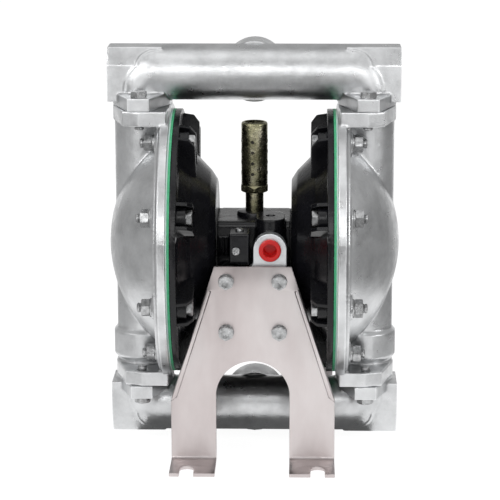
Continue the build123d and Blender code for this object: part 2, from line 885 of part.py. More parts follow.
# Air distribution valve: sleeve, spool, end plugs and the pilot pin
with BuildPart() as valve_sleeve:
    with BuildSketch(across(0, valve_z)):
        Circle(sleeve_radius)
        Circle(spool_radius + running_clearance, mode=Mode.SUBTRACT)
    extrude(amount=sleeve_half_length, both=True)
    with BuildSketch(level(valve_z)):
        with GridLocations(2 * spool_radius, 0, 3, 1):
            Rectangle(sleeve_slot, sleeve_slot)
    extrude(amount=sleeve_radius, mode=Mode.SUBTRACT)
save(valve_sleeve, "valve_sleeve")

with BuildPart() as valve_spool:
    with BuildSketch(across(0, valve_z)):
        Circle(spool_radius)
    extrude(amount=spool_half_length, both=True)
    for side in (-1, 1):
        with BuildSketch(across(side * sleeve_slot / 2, valve_z)):
            Circle(spool_radius)
            Circle(spool_neck_radius, mode=Mode.SUBTRACT)
        extrude(amount=side * spool_radius, mode=Mode.SUBTRACT)
save(valve_spool, "valve_spool")

with BuildPart() as right_valve_plug:
    with BuildSketch(across(sleeve_half_length, valve_z)):
        Circle(sleeve_radius)
    extrude(amount=body_half_length - sleeve_half_length)
save_both(right_valve_plug, "valve_plug")

with BuildPart() as pilot_pin:
    with BuildSketch(across(0)):
        with Locations((pilot_y, pilot_z)):
            Circle(pilot_radius)
    extrude(amount=pilot_half_length, both=True)
save(pilot_pin, "pilot_pin")

# Pilot cover with one screw on top and one in front
pilot_cover_depth = pilot_cover_reach - body_half_depth
cover_middle_x = pilot_cover_left + pilot_cover_width / 2
top_screw_y = -(body_half_depth + pilot_cover_reach) / 2
front_screw_x = cover_middle_x - front_screw_shift
front_screw_z = pilot_cover_top - pilot_cover_height / 2 - front_screw_drop
with BuildPart() as pilot_cover:
    with BuildSketch(facing(-body_half_depth)):
        with Locations((cover_middle_x, pilot_cover_top - pilot_cover_height / 2)):
            Rectangle(pilot_cover_width, pilot_cover_height)
    extrude(amount=pilot_cover_depth)
    fillet(pilot_cover.edges().group_by(Axis.Y)[0], pilot_cover_round)
    with BuildSketch(level(pilot_cover_top)):
        with Locations((cover_middle_x, top_screw_y)):
            Circle(screw_radius + thread_clearance)
    extrude(amount=-screw_length - screw_end_gap, mode=Mode.SUBTRACT)
    with BuildSketch(facing(-pilot_cover_reach)):
        with Locations((front_screw_x, front_screw_z)):
            Circle(screw_radius + thread_clearance)
    extrude(amount=-screw_length - screw_end_gap, mode=Mode.SUBTRACT)
save(pilot_cover, "pilot_cover")

# Air inlet block in front, with the plug in its thread
with BuildPart() as air_inlet_block:
    add(inlet_form(inlet_back, inlet_face, 0))
    with BuildSketch(facing(-inlet_back)):
        with Locations((inlet_x, inlet_z)):
            Circle(inlet_thread_radius)
    extrude(amount=inlet_thickness, mode=Mode.SUBTRACT)
save(air_inlet_block, "air_inlet_block")

with BuildPart() as inlet_plug:
    with BuildSketch(facing(-inlet_face)):
        with Locations((inlet_x, inlet_z)):
            Circle(plug_flange_radius)
    extrude(amount=plug_flange_thickness)
    with BuildSketch(facing(-inlet_face)):
        with Locations((inlet_x, inlet_z)):
            Circle(inlet_thread_radius - thread_clearance)
    extrude(amount=-plug_length)
    with BuildSketch(facing(-inlet_face - plug_flange_thickness)):
        with Locations((inlet_x, inlet_z)):
            Circle(plug_hollow_radius)
    extrude(amount=-plug_hollow_depth, mode=Mode.SUBTRACT)
save(inlet_plug, "inlet_plug")

# Valve cover at the back, cast like the inlet block, with its gasket and screws
with BuildPart() as back_cover_gasket:
    with BuildSketch(facing(body_half_depth)):
        with Locations((0, (inlet_base + body_top) / 2)):
            Rectangle(2 * back_cover_half_width, body_top - inlet_base - 2 * body_round)
    extrude(amount=-gasket_thickness)
save(back_cover_gasket, "back_cover_gasket")

with BuildPart() as back_valve_cover:
    with BuildSketch(facing(body_half_depth + gasket_thickness)):
        with Locations((0, (inlet_base + body_top) / 2)):
            Rectangle(2 * back_cover_half_width, body_top - inlet_base - 2 * body_round)
    extrude(amount=-(back_cover_face - body_half_depth - gasket_thickness))
    with BuildSketch(facing(back_cover_face)):
        with Locations((0, inlet_z)):
            Circle(back_boss_radius)
    extrude(amount=-(inlet_face - back_cover_face))
save(back_valve_cover, "back_valve_cover")

# Small screws of the covers
with BuildPart() as cover_screws:
    with BuildSketch(level(pilot_cover_top)):
        with Locations((cover_middle_x, top_screw_y)):
            Circle(screw_head_radius)
    extrude(amount=screw_head_height)
    with BuildSketch(level(pilot_cover_top)):
        with Locations((cover_middle_x, top_screw_y)):
            Circle(screw_radius)
    extrude(amount=-screw_length)
    with BuildSketch(facing(-pilot_cover_reach)):
        with Locations((front_screw_x, front_screw_z)):
            Circle(screw_head_radius)
    extrude(amount=screw_head_height)
    with BuildSketch(facing(-pilot_cover_reach)):
        with Locations((front_screw_x, front_screw_z)):
            Circle(screw_radius)
    extrude(amount=-screw_length)
save(cover_screws, "cover_screws")

# Muffler: threaded neck with hexagon, perforated shell and felt
hex_bottom = body_top + muffler_neck_height
shell_bottom = hex_bottom + muffler_hex_height
with BuildPart() as muffler_fitting:
    with BuildSketch(level(body_top - muffler_neck_depth)):
        Circle(muffler_neck_radius)
    extrude(amount=muffler_neck_depth + muffler_neck_height)
    with BuildSketch(level(hex_bottom)):
        hex_outline(muffler_hex_flats, turn=30)
    extrude(amount=muffler_hex_height)
    with BuildSketch(level(body_top - muffler_neck_depth)):
        Circle(muffler_bore)
    extrude(amount=muffler_neck_depth + muffler_neck_height + muffler_hex_height, mode=Mode.SUBTRACT)
save(muffler_fitting, "muffler_fitting")

with BuildPart() as muffler_shell:
    with BuildSketch(level(shell_bottom)):
        Circle(muffler_radius)
    extrude(amount=muffler_height)
    with BuildSketch(level(shell_bottom)):
        Circle(muffler_radius - muffler_wall)
    extrude(amount=muffler_height - muffler_wall, mode=Mode.SUBTRACT)
    with BuildSketch(level(shell_bottom)):
        Circle(muffler_radius - muffler_lip)
    extrude(amount=muffler_height, mode=Mode.SUBTRACT)
    for column in range(muffler_columns // 2):
        turn = 360 / muffler_columns * column
        column_plane = Plane(
            origin=(0, 0, axis_height + shell_bottom),
            x_dir=(-sin(radians(turn)), cos(radians(turn)), 0),
            z_dir=(cos(radians(turn)), sin(radians(turn)), 0),
        )
        stagger = muffler_row_pitch / 2 * (column % 2)
        with BuildSketch(column_plane):
            for row in range(muffler_rows):
                with Locations((0, muffler_first_row + stagger + row * muffler_row_pitch)):
                    Circle(muffler_hole_radius)
        extrude(amount=muffler_radius, both=True, mode=Mode.SUBTRACT)
save(muffler_shell, "muffler_shell")

with BuildPart() as muffler_felt:
    with BuildSketch(level(shell_bottom)):
        Circle(muffler_radius - muffler_wall)
        Circle(muffler_radius - muffler_wall - felt_wall, mode=Mode.SUBTRACT)
    extrude(amount=muffler_height - felt_gap)
save(muffler_felt, "muffler_felt")

# Front bracket: bent from one sheet, arch between two legs, slotted toes
with BuildPart() as front_bracket:
    with BuildSketch(Plane.YZ):
        with BuildLine():
            Polyline(
                (-toe_reach, 0),
                (-post_face, 0),
                (-post_face, axis_height + bracket_top),
                (-bracket_reach, axis_height + bracket_top),
                (-bracket_reach, sheet),
                (-toe_reach, sheet),
                close=True,
            )
        make_face()
    extrude(amount=bracket_foot_half_width, both=True)
    heel = front_bracket.edges().filter_by(Axis.X).sort_by(Axis.Z)
    fillet(on_plane(heel, Axis.Y, -post_face)[0], bend_radius)
    fillet(on_plane(heel, Axis.Y, -bracket_reach)[0], bend_radius - sheet)
    with BuildSketch(facing(0)):
        with BuildLine():
            Polyline(
                (-leg_inner, arch_spring),
                (-leg_inner, -axis_height),
                (-bracket_foot_half_width, -axis_height),
                (-bracket_foot_half_width, bracket_knee),
                (-bracket_top_half_width, bracket_top),
                (bracket_top_half_width, bracket_top),
                (bracket_foot_half_width, bracket_knee),
                (bracket_foot_half_width, -axis_height),
                (leg_inner, -axis_height),
                (leg_inner, arch_spring),
            )
            ThreePointArc((leg_inner, arch_spring), (0, arch_top), (-leg_inner, arch_spring))
        make_face()
    extrude(amount=toe_reach, mode=Mode.INTERSECT)

    # Rims folded back along the slanted edges
    slope = (bracket_foot_half_width - bracket_top_half_width) / (bracket_top - bracket_knee)
    rim_top_x = bracket_top_half_width + slope * (bracket_top - rim_start)
    for side in (-1, 1):
        with BuildSketch(facing(-post_face)):
            Polygon(
                (side * rim_top_x, rim_start),
                (side * bracket_foot_half_width, bracket_knee),
                (side * (bracket_foot_half_width - sheet), bracket_knee),
                (side * (rim_top_x - sheet), rim_start),
                align=None,
            )
        extrude(amount=-rim_depth)
    front_edges = on_plane(front_bracket.edges(), Axis.Y, -bracket_reach).filter_by(GeomType.LINE)
    slanted = front_edges.filter_by(lambda e: abs(e.tangent_at(0).X * e.tangent_at(0).Z) > 0.1)
    fillet(slanted, rim_bend)

    # Open slots in the toes and holes for the bolts
    with BuildSketch(Plane.XY):
        for x in (-slot_x, slot_x):
            with Locations((x, -toe_reach + slot_depth - slot_width / 2)):
                Circle(slot_width / 2)
            with Locations((x, -toe_reach)):
                Rectangle(slot_width, 2 * (slot_depth - slot_width / 2))
    extrude(amount=sheet, mode=Mode.SUBTRACT)
    with BuildSketch(facing(-bracket_reach)):
        with Locations(*bracket_bolts_at):
            Circle(bolt_hole_radius)
    extrude(amount=-sheet, mode=Mode.SUBTRACT)
save(front_bracket, "front_bracket")

with BuildPart() as back_bracket:
    mirror(front_bracket.part, about=Plane.XZ)
save(back_bracket, "back_bracket")

# Bracket bolts with washers, front and back
with BuildPart() as front_bolts:
    with BuildSketch(facing(-bracket_reach - washer_thickness)):
        with Locations(*bracket_bolts_at):
            hex_outline(head_across_flats)
    extrude(amount=head_height)
    with BuildSketch(facing(-bracket_reach - washer_thickness)):
        with Locations(*bracket_bolts_at):
            Circle(bolt_radius)
    extrude(amount=-(bracket_bolt_length + sheet + washer_thickness))
with BuildPart() as bracket_bolts:
    add(front_bolts.part)
    mirror(front_bolts.part, about=Plane.XZ)
save(bracket_bolts, "bracket_bolts")

with BuildPart() as front_washers:
    with BuildSketch(facing(-bracket_reach)):
        with Locations(*bracket_bolts_at):
            Circle(washer_radius)
            Circle(bolt_hole_radius, mode=Mode.SUBTRACT)
    extrude(amount=washer_thickness)
with BuildPart() as bracket_washers:
    add(front_washers.part)
    mirror(front_washers.part, about=Plane.XZ)
save(bracket_washers, "bracket_washers")

# Manifold bolts, heads on the manifold feet and ends through the cap plates
foot_face = cap_half_height + foot_thickness
with BuildPart() as top_bolts:
    with BuildSketch(level(foot_face)):
        with Locations(*lug_bolts_at):
            hex_outline(head_across_flats)
    extrude(amount=head_height)
    with BuildSketch(level(foot_face)):
        with Locations(*lug_bolts_at):
            Circle(bolt_radius)
    extrude(amount=-(foot_thickness + plate_thickness + thread_end))
save(top_bolts, "discharge_manifold_bolts")

with BuildPart() as bottom_bolts:
    mirror(top_bolts.part, about=level(0))
save(bottom_bolts, "suction_manifold_bolts")

# Cap bolts and nuts
with BuildPart() as right_cap_bolts:
    with BuildSketch(across(air_lug_face)):
        with Locations(*cap_bolts_at):
            hex_outline(head_across_flats)
    extrude(amount=-head_height)
    with BuildSketch(across(air_lug_face)):
        with Locations(*cap_bolts_at):
            Circle(bolt_radius)
    extrude(amount=nut_face + nut_height + thread_end - air_lug_face)
save_both(right_cap_bolts, "cap_bolts")

with BuildPart() as right_cap_washers:
    with BuildSketch(across(pad_face)):
        with Locations(*cap_bolts_at):
            Circle(washer_radius)
            Circle(bolt_hole_radius, mode=Mode.SUBTRACT)
    extrude(amount=cap_washer_thickness)
with BuildPart() as cap_washers:
    add(right_cap_washers.part)
    mirror(right_cap_washers.part, about=Plane.YZ)
save(cap_washers, "cap_washers")

with BuildPart() as right_cap_nuts:
    with BuildSketch(across(nut_face)):
        with Locations(*cap_bolts_at):
            hex_outline(nut_across_flats)
            Circle(tapped_radius, mode=Mode.SUBTRACT)
    extrude(amount=nut_height)
save_both(right_cap_nuts, "cap_nuts")
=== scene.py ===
import json
from math import cos, pi, radians, sin

import bmesh
import bpy
from mathutils import Matrix, Vector


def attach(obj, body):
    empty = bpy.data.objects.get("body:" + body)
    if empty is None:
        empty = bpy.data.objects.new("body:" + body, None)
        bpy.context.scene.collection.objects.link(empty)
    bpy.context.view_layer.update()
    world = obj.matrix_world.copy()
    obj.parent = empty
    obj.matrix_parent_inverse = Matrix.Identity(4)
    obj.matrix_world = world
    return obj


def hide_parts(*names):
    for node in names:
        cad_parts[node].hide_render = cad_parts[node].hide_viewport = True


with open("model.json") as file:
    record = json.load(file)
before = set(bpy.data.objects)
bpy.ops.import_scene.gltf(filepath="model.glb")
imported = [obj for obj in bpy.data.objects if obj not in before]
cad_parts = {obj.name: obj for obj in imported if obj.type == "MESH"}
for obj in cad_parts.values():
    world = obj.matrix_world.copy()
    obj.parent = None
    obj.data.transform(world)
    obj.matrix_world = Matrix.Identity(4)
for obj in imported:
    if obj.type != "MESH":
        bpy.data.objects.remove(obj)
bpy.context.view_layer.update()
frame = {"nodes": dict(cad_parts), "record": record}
nodes = frame["nodes"]

# Sizes of the pump in millimetres. X runs along the shaft, and heights are over the shaft
# unless they say otherwise.
MM = 0.001
SHAFT = 224  # floor to the shaft

# Manifolds
tube_radius = 30.0
bend_radius = 17.0  # middle line of the bend between tube and leg
leg_offset = 120.5  # middle plane to the legs
manifold_rise = 184.0
cap_half_height = 149.2  # shaft to the faces that carry the manifolds
foot_face = 163.5  # the feet's other face, under the bolt heads
foot_radius = 31.5
lug_reach = 60.0
lug_half_width = 11.5
lug_bolt_reach = 48.0
lug_bolt_length = 34.6
block_end, block_start = 156.0, 105.0  # ends of a block along the tube
crown_start = 98.0
block_half_width, crown_half_width = 25.0, 15.0
block_crown, block_foot = 28.5, -29.0  # over the tube's axis
discharge_shoulder, suction_shoulder = 9.8, 5.0
bend_slice = 7.0  # length of the drums that make up a bend
lip_radius = 1.5
port_face, port_inner, port_outer = 42.0, -20.0, 44.0  # boss and both ends of its bore, along Y
port_boss_radius, port_radius = 33.0, 22.4

# Flange bolts of the caps; the faces are measured along the shaft
cap_bolt_circle = 124.0  # radius
lug_face = 68.0  # under the bolt heads
pad_face = 104.4  # under the washers
cap_washer = 2.0
bolt_end = 13.5  # bolt past the washer
bolt_radius, thread_length, thread_depth = 5.0, 22.0, 0.75
nut_flats, nut_height = 17.0, 9.0
washer_hole = 5.5  # radius

# Centre block: pilot cover, air inlet and muffler
cover_top, cover_front = 23.0, -78.0
top_screw_x, top_screw_y = -14.5, -59.0
front_screw_x, front_screw_z = -18.0, 4.5
slot_turn = 0.5  # radians, for both screws
inlet_x, inlet_front, inlet_z = 18.0, -84.0, 7.0
body_top = 28.0
shell_bottom = 61.0
shell_radius = 14.2
hole_radius = 1.9
hole_rows = ((13.7, 11.6, 4), (8.2, 11.3, 5))  # height of the first hole, pitch and count
first_column, column_turn = -97.5, 46.0  # degrees about the muffler
neck_flats = 29.0

# Stand brackets
sheet = 4.0
bracket_face = 90.0  # middle plane to the outside of the sheet
rim_back = 82.5  # middle plane to the free edge of the rims
toe_reach = 140.0
heel_radius = 5.0  # middle line of the bend at the heel
blank_top = SHAFT - 9.5  # this height and the next four are over the floor
rim_top = SHAFT - 34.0
arch_top = SHAFT - 112.0
arch_foot = SHAFT - 147.0
knee = SHAFT - 155.0  # where the slanted edges end
top_half, foot_half = 40.8, 87.0  # half widths at the top and at the foot
top_seam = 20.0
leg_inner = 39.0  # half the gap between the legs
rim_width = 5.2
slot_x, slot_half, slot_depth = 69.0, 7.5, 24.5
bracket_washer, bracket_bolt_length = 1.2, 25.2
bracket_bolts_at = ((-28, -25), (28, -25), (-28, -80), (28, -80))  # X and height


# Materials: every surface is worked out from its own place in the object's frame

class Finish:
    """One procedural material, built around a Principled shader."""

    def __init__(self, name, metallic=0.0, **sockets):
        self.material = bpy.data.materials.new(name)
        self.material.use_nodes = True
        self.tree = self.material.node_tree
        self.shader = self.tree.nodes["Principled BSDF"]
        self.shader.inputs["Metallic"].default_value = metallic
        for socket, value in sockets.items():
            self.shader.inputs[socket.replace("_", " ")].default_value = value
        self.place = self.tree.nodes.new("ShaderNodeTexCoord").outputs["Object"]

    def link(self, source, target):
        self.tree.links.new(source, target)

    def noise(self, scale, detail=3.0, stretch=(1, 1, 1), roughness=0.55):
        """Cloudy noise; a scale of 100 has spots about 10 mm wide."""
        mapping = self.tree.nodes.new("ShaderNodeMapping")
        mapping.inputs["Scale"].default_value = stretch
        self.link(self.place, mapping.inputs["Vector"])
        node = self.tree.nodes.new("ShaderNodeTexNoise")
        node.inputs["Scale"].default_value = scale
        node.inputs["Detail"].default_value = detail
        node.inputs["Roughness"].default_value = roughness
        self.link(mapping.outputs["Vector"], node.inputs["Vector"])
        return node.outputs["Fac"]

    def edges(self):
        """Under a half in hollows, over a half on edges."""
        return self.tree.nodes.new("ShaderNodeNewGeometry").outputs["Pointiness"]

    def ramp(self, source, *stops):
        """Colour ramp; each stop is (position, colour)."""
        node = self.tree.nodes.new("ShaderNodeValToRGB")
        ramp = node.color_ramp
        while len(ramp.elements) < len(stops):
            ramp.elements.new(0.5)
        for element, (position, colour) in zip(ramp.elements, stops):
            element.position = position
            element.color = (*colour, 1)
        self.link(source, node.inputs["Fac"])
        return node.outputs["Color"]

    def span(self, source, low, high, start=0.3, end=0.7):
        """Map a noise to a span of numbers."""
        node = self.tree.nodes.new("ShaderNodeMapRange")
        for socket, value in zip(("From Min", "From Max", "To Min", "To Max"), (start, end, low, high)):
            node.inputs[socket].default_value = value
        self.link(source, node.inputs["Value"])
        return node.outputs["Result"]

    def mix(self, share, first, second, blend="MIX"):
        """Blend two colours by a share; each may be a socket or a plain value."""
        node = self.tree.nodes.new("ShaderNodeMix")
        node.data_type = "RGBA"
        node.blend_type = blend
        for value, socket in ((share, node.inputs[0]), (first, node.inputs[6]), (second, node.inputs[7])):
            if isinstance(value, bpy.types.NodeSocket):
                self.link(value, socket)
            else:
                socket.default_value = value if isinstance(value, float) else (*value, 1)
        return node.outputs[2]

    def colour(self, source):
        self.link(source, self.shader.inputs["Base Color"])

    def rough(self, source, low, high, start=0.3, end=0.7):
        self.link(self.span(source, low, high, start, end), self.shader.inputs["Roughness"])

    def bump(self, *layers):
        """Stack bumps, each (height source, depth in metres)."""
        normal = None
        for source, depth in layers:
            node = self.tree.nodes.new("ShaderNodeBump")
            node.inputs["Distance"].default_value = depth
            self.link(source, node.inputs["Height"])
            if normal:
                self.link(normal, node.inputs["Normal"])
            normal = node.outputs["Normal"]
        self.link(normal, self.shader.inputs["Normal"])


def grey(level, warmth=0.0):
    """Grey that leans to red with a positive warmth and to blue with a negative one."""
    return (level * (1 + warmth), level, level * (1 - warmth))


def cast_finish(name, level, warmth, low, high):
    """Bead-blasted casting: fine grain, cloudy patches, painted highlights on edges, painted shade in
    hollows.
    """
    made = Finish(name, metallic=1.0)
    patches = made.noise(22, 6, roughness=0.65)
    shades = ((0.30, 0.72), (0.5, 0.95), (0.70, 1.12))
    base = made.ramp(patches, *((place, grey(level * share, warmth)) for place, share in shades))
    # Painted highlight on edges and painted shade in hollows, read from pointiness and multiplied into the
    # colour
    edge_light_and_hollow_shade_stops = ((0.42, 0.45), (0.49, 1.0), (0.51, 1.0), (0.56, 1.35))
    painted_edge_light_and_hollow_shade = made.ramp(made.edges(), *((place, grey(share)) for place, share in edge_light_and_hollow_shade_stops))
    made.colour(made.mix(1.0, base, painted_edge_light_and_hollow_shade, "MULTIPLY"))
    made.rough(made.noise(70, 3), low, high)
    made.bump((made.noise(38, 3), 0.0006), (made.noise(700, 3), 0.00018))
    return made.material


stainless = cast_finish("stainless_casting", 0.69, -0.012, 0.26, 0.42)
aluminium = cast_finish("aluminium_casting", 0.76, -0.02, 0.34, 0.46)

black = Finish("black_paint", Specular_IOR_Level=0.36)
black.colour(black.ramp(black.noise(24, 4), (0.35, (0.004, 0.004, 0.005)), (0.7, (0.009, 0.009, 0.012))))
black.rough(black.noise(60, 3), 0.20, 0.32)
black.bump((black.noise(55, 2), 0.0003), (black.noise(500, 2), 0.00005))

sheet_metal = Finish("bracket_sheet", metallic=1.0)
sheet_metal.colour(sheet_metal.ramp(
    sheet_metal.noise(12, 5, (1, 1, 0.45)),
    (0.3, (0.53, 0.47, 0.465)), (0.5, (0.64, 0.585, 0.58)), (0.7, (0.72, 0.68, 0.675))))
sheet_metal.rough(sheet_metal.noise(14, 4, (6, 6, 1)), 0.36, 0.48)
sheet_metal.bump((sheet_metal.noise(420, 3, (6, 6, 0.35)), 0.00003), (sheet_metal.noise(12, 2), 0.0003))

fastener = Finish("bolt_steel", metallic=1.0)
fastener.colour(fastener.ramp(fastener.noise(260, 4), (0.3, grey(0.30, -0.01)), (0.7, grey(0.58, -0.01))))
fastener.rough(fastener.noise(300, 2), 0.24, 0.40)
fastener.bump((fastener.noise(150, 3), 0.0005), (fastener.noise(700, 3), 0.0001))

machined = Finish("plate_steel", metallic=1.0)
machined.colour(machined.ramp(machined.noise(60, 3), (0.3, grey(0.56)), (0.7, grey(0.66))))
machined.rough(machined.noise(600, 2, (1, 1, 8)), 0.22, 0.36)
machined.bump((machined.noise(900, 2), 0.00003),)

green = Finish("green_rubber", Specular_IOR_Level=0.4)
green.colour(green.ramp(green.noise(90, 3), (0.3, (0.08, 0.52, 0.25)), (0.7, (0.12, 0.64, 0.32))))
green.rough(green.noise(260, 2), 0.42, 0.55)
green.bump((green.noise(800, 2), 0.00005),)

ptfe = Finish("ptfe", Subsurface_Weight=0.2, Subsurface_Scale=0.002)
ptfe.colour(ptfe.ramp(ptfe.noise(70, 3), (0.3, (0.70, 0.86, 0.80)), (0.7, (0.80, 0.93, 0.89))))
ptfe.rough(ptfe.noise(260, 2), 0.35, 0.5)
ptfe.bump((ptfe.noise(700, 2), 0.00004),)

brass = Finish("muffler_brass", metallic=1.0)
tint = brass.ramp(
    brass.noise(75, 5), (0.28, (0.18, 0.165, 0.10)), (0.5, (0.40, 0.37, 0.24)), (0.72, (0.68, 0.63, 0.50)))
brass.colour(brass.mix(brass.span(brass.noise(300, 2), 0.0, 0.5), tint, (0.10, 0.12, 0.06)))
brass.rough(brass.noise(160, 4), 0.16, 0.36)
brass.bump((brass.noise(160, 4), 0.0005), (brass.noise(600, 3), 0.0003))

red = Finish("red_plastic", Coat_Weight=0.2)
red.colour(red.ramp(red.noise(120, 3), (0.3, (0.76, 0.005, 0.005)), (0.7, (0.90, 0.012, 0.010))))
red.rough(red.noise(300, 2), 0.3, 0.42)
red.bump((red.noise(500, 2), 0.00005),)


def plain_finish(name, dark, light, low, high, scale, depth, metallic=0.0):
    """Cloudy colour between two shades, with its own grain."""
    made = Finish(name, metallic=metallic)
    made.colour(made.ramp(made.noise(scale, 4), (0.3, dark), (0.7, light)))
    made.rough(made.noise(scale * 2, 3), low, high)
    made.bump((made.noise(scale * 4, 3), depth),)
    return made.material


materials = {
    "stainless_casting": stainless,
    "aluminium_casting": aluminium,
    "black_paint": black.material,
    "bracket_sheet": sheet_metal.material,
    "bolt_steel": fastener.material,
    "plate_steel": machined.material,
    "green_rubber": green.material,
    "ptfe": ptfe.material,
    "muffler_brass": brass.material,
    "red_plastic": red.material,
    "gasket_sheet": plain_finish("gasket_sheet", grey(0.06), grey(0.11), 0.7, 0.85, 200, 0.00005),
    "bronze": plain_finish("bronze", (0.42, 0.25, 0.09), (0.58, 0.37, 0.15), 0.25, 0.4, 150, 0.00003, 1.0),
    "seal_rubber": plain_finish("seal_rubber", grey(0.012), grey(0.025), 0.5, 0.65, 180, 0.00005),
    "felt": plain_finish("felt", (0.02, 0.02, 0.017), (0.07, 0.065, 0.05), 0.85, 0.95, 500, 0.0004),
}

slot_of = {row["node"]: row["material_slot"] for row in frame["record"]["subparts"]}


# Floor and backdrop, reflecting cards, lamps, camera

def light_path_share(tree):
    """1 for what the camera sees straight, in a reflection or through a clear surface."""
    path = tree.nodes.new("ShaderNodeLightPath")
    total = path.outputs["Is Camera Ray"]
    for extra in ("Is Glossy Ray", "Is Transmission Ray"):
        node = tree.nodes.new("ShaderNodeMath")
        node.operation = "MAXIMUM"
        tree.links.new(total, node.inputs[0])
        tree.links.new(path.outputs[extra], node.inputs[1])
        total = node.outputs[0]
    return total


world = bpy.data.worlds.new("studio")
bpy.context.scene.world = world
world.use_nodes = True
room_light = 0.45  # what the backdrop gives as light; it is seen as white
backdrop = world.node_tree.nodes["Background"]
strength = world.node_tree.nodes.new("ShaderNodeMapRange")
strength.inputs["To Min"].default_value = room_light
strength.inputs["To Max"].default_value = 1.0
world.node_tree.links.new(light_path_share(world.node_tree), strength.inputs["Value"])
world.node_tree.links.new(strength.outputs["Result"], backdrop.inputs["Strength"])
backdrop.inputs["Color"].default_value = (1, 1, 1, 1)

bpy.ops.mesh.primitive_plane_add(size=14, location=(0, 0, 0))
floor = bpy.context.object
floor.name = "floor"
floor_material = bpy.data.materials.new("pale_floor")
floor_material.use_nodes = True
tree = floor_material.node_tree
diffuse = tree.nodes["Principled BSDF"]
diffuse.inputs["Base Color"].default_value = (0.25, 0.25, 0.25, 1)
diffuse.inputs["Roughness"].default_value = 1.0
diffuse.inputs["Specular IOR Level"].default_value = 0.0
glow = tree.nodes.new("ShaderNodeEmission")
tree.links.new(light_path_share(tree), glow.inputs["Strength"])
glow.inputs["Color"].default_value = (0.93, 0.93, 0.93, 1)
both = tree.nodes.new("ShaderNodeAddShader")
tree.links.new(diffuse.outputs[0], both.inputs[0])
tree.links.new(glow.outputs[0], both.inputs[1])
tree.links.new(both.outputs[0], tree.nodes["Material Output"].inputs["Surface"])
floor.data.materials.append(floor_material)


def card(name, points, faces, level):
    """A studio card that only shows as a reflection."""
    data = bpy.data.meshes.new(name)
    data.from_pydata(points, [], faces)
    material = bpy.data.materials.new(name)
    material.use_nodes = True
    nodes_of = material.node_tree.nodes
    nodes_of.remove(nodes_of["Principled BSDF"])
    glow = nodes_of.new("ShaderNodeEmission")
    glow.inputs["Color"].default_value = (level, level, level, 1)
    material.node_tree.links.new(glow.outputs[0], nodes_of["Material Output"].inputs["Surface"])
    data.materials.append(material)
    made = bpy.data.objects.new(name, data)
    bpy.context.scene.collection.objects.link(made)
    made.visible_camera = made.visible_diffuse = made.visible_shadow = made.visible_transmission = False


def sheet_card(name, half_width, near, far, level):
    """Rectangular card between two places, each (y, z)."""
    points = [(-half_width, *near), (half_width, *near), (half_width, *far), (-half_width, *far)]
    card(name, points, [(0, 1, 2, 3)], level)


def tent(name, rows, level, first, last, count=48):
    """Card turned about the upright axis through rows of (radius, height), from one step to another."""
    points = [
        (radius * cos(2 * pi * k / count), radius * sin(2 * pi * k / count), height)
        for radius, height in rows for k in range(count)
    ]
    faces = []
    for row in range(len(rows) - 1):
        low, high = row * count, (row + 1) * count
        for k in range(first, last):
            faces.append((low + k % count, low + (k + 1) % count, high + (k + 1) % count, high + k % count))
    card(name, points, faces, level)


room_radius, wall_top = 2.9, 0.7
ceiling = [(room_radius, wall_top), (2.6, 1.3), (1.9, 2.1), (0.9, 2.6), (0.01, 2.7)]
# Dark card under the pump that stands in for the floor's shadow in reflections: painted shade
sheet_card("floor_shadow_card", 0.13, (-0.07, 0.0004), (0.12, 0.0004), 0.12)
sheet_card("front_flag", 0.3, (-0.10, 0.25), (-0.30, 0.25), 0.42)
sheet_card("low_flag", 0.1, (-0.5, 0.15), (-0.5, 0.34), 0.10)
tent("grey_ceiling", ceiling, 0.46, -2, 26)
tent("front_ceiling", ceiling, 0.66, 26, 46)
for name, first, level in (("right", -7, 0.24), ("left", 17, 0.38)):
    tent(f"{name}_flag", [(room_radius, 0.0), (room_radius, wall_top)], level, first, first + 14)
    tent(f"{name}_table", [(0.45, 0.0006), (room_radius, 0.0006)], level + 0.1, first, first + 14)


def lamp(name, place, size, power, aim=(0, 0, 0.22)):
    """Soft box that faces the middle of the pump."""
    data = bpy.data.lights.new(name, "AREA")
    data.shape = "RECTANGLE"
    data.size, data.size_y = size
    data.energy = power
    made = bpy.data.objects.new(name, data)
    bpy.context.scene.collection.objects.link(made)
    made.location = place
    made.rotation_euler = (Vector(aim) - Vector(place)).to_track_quat("-Z", "Y").to_euler()


lamp("left_softbox", (-1.2, -1.3, 1.2), (0.6, 0.9), 7)
lamp("right_softbox", (1.5, -1.1, 0.8), (0.4, 1.0), 5)
lamp("front_softbox", (0.1, -1.8, 1.0), (1.6, 0.5), 6)
lamp("top_softbox", (0, -0.3, 1.9), (1.4, 1.2), 3)

# Camera, fitted to the places of edges and bolts in the photograph
image_width = 500
focal_pixels = 2110.7
camera_aim = Vector((-0.00505, 0, 0.21238))
camera_data = bpy.data.cameras.new("camera")
camera = bpy.data.objects.new("camera", camera_data)
bpy.context.scene.collection.objects.link(camera)
bpy.context.scene.camera = camera
bpy.context.scene.view_settings.view_transform = "Standard"
azimuth, elevation, roll, distance = radians(1.477), radians(12.81), radians(-0.085), 2.3
back = Vector((sin(azimuth) * cos(elevation), -cos(azimuth) * cos(elevation), sin(elevation)))
camera.location = camera_aim + back * distance
turn = (-back).to_track_quat("-Z", "Y").to_matrix() @ Matrix.Rotation(roll, 3, "Z")
camera.rotation_euler = turn.to_euler()
camera_data.sensor_width = 36
camera_data.lens = focal_pixels / image_width * camera_data.sensor_width
camera_data.clip_end = 30

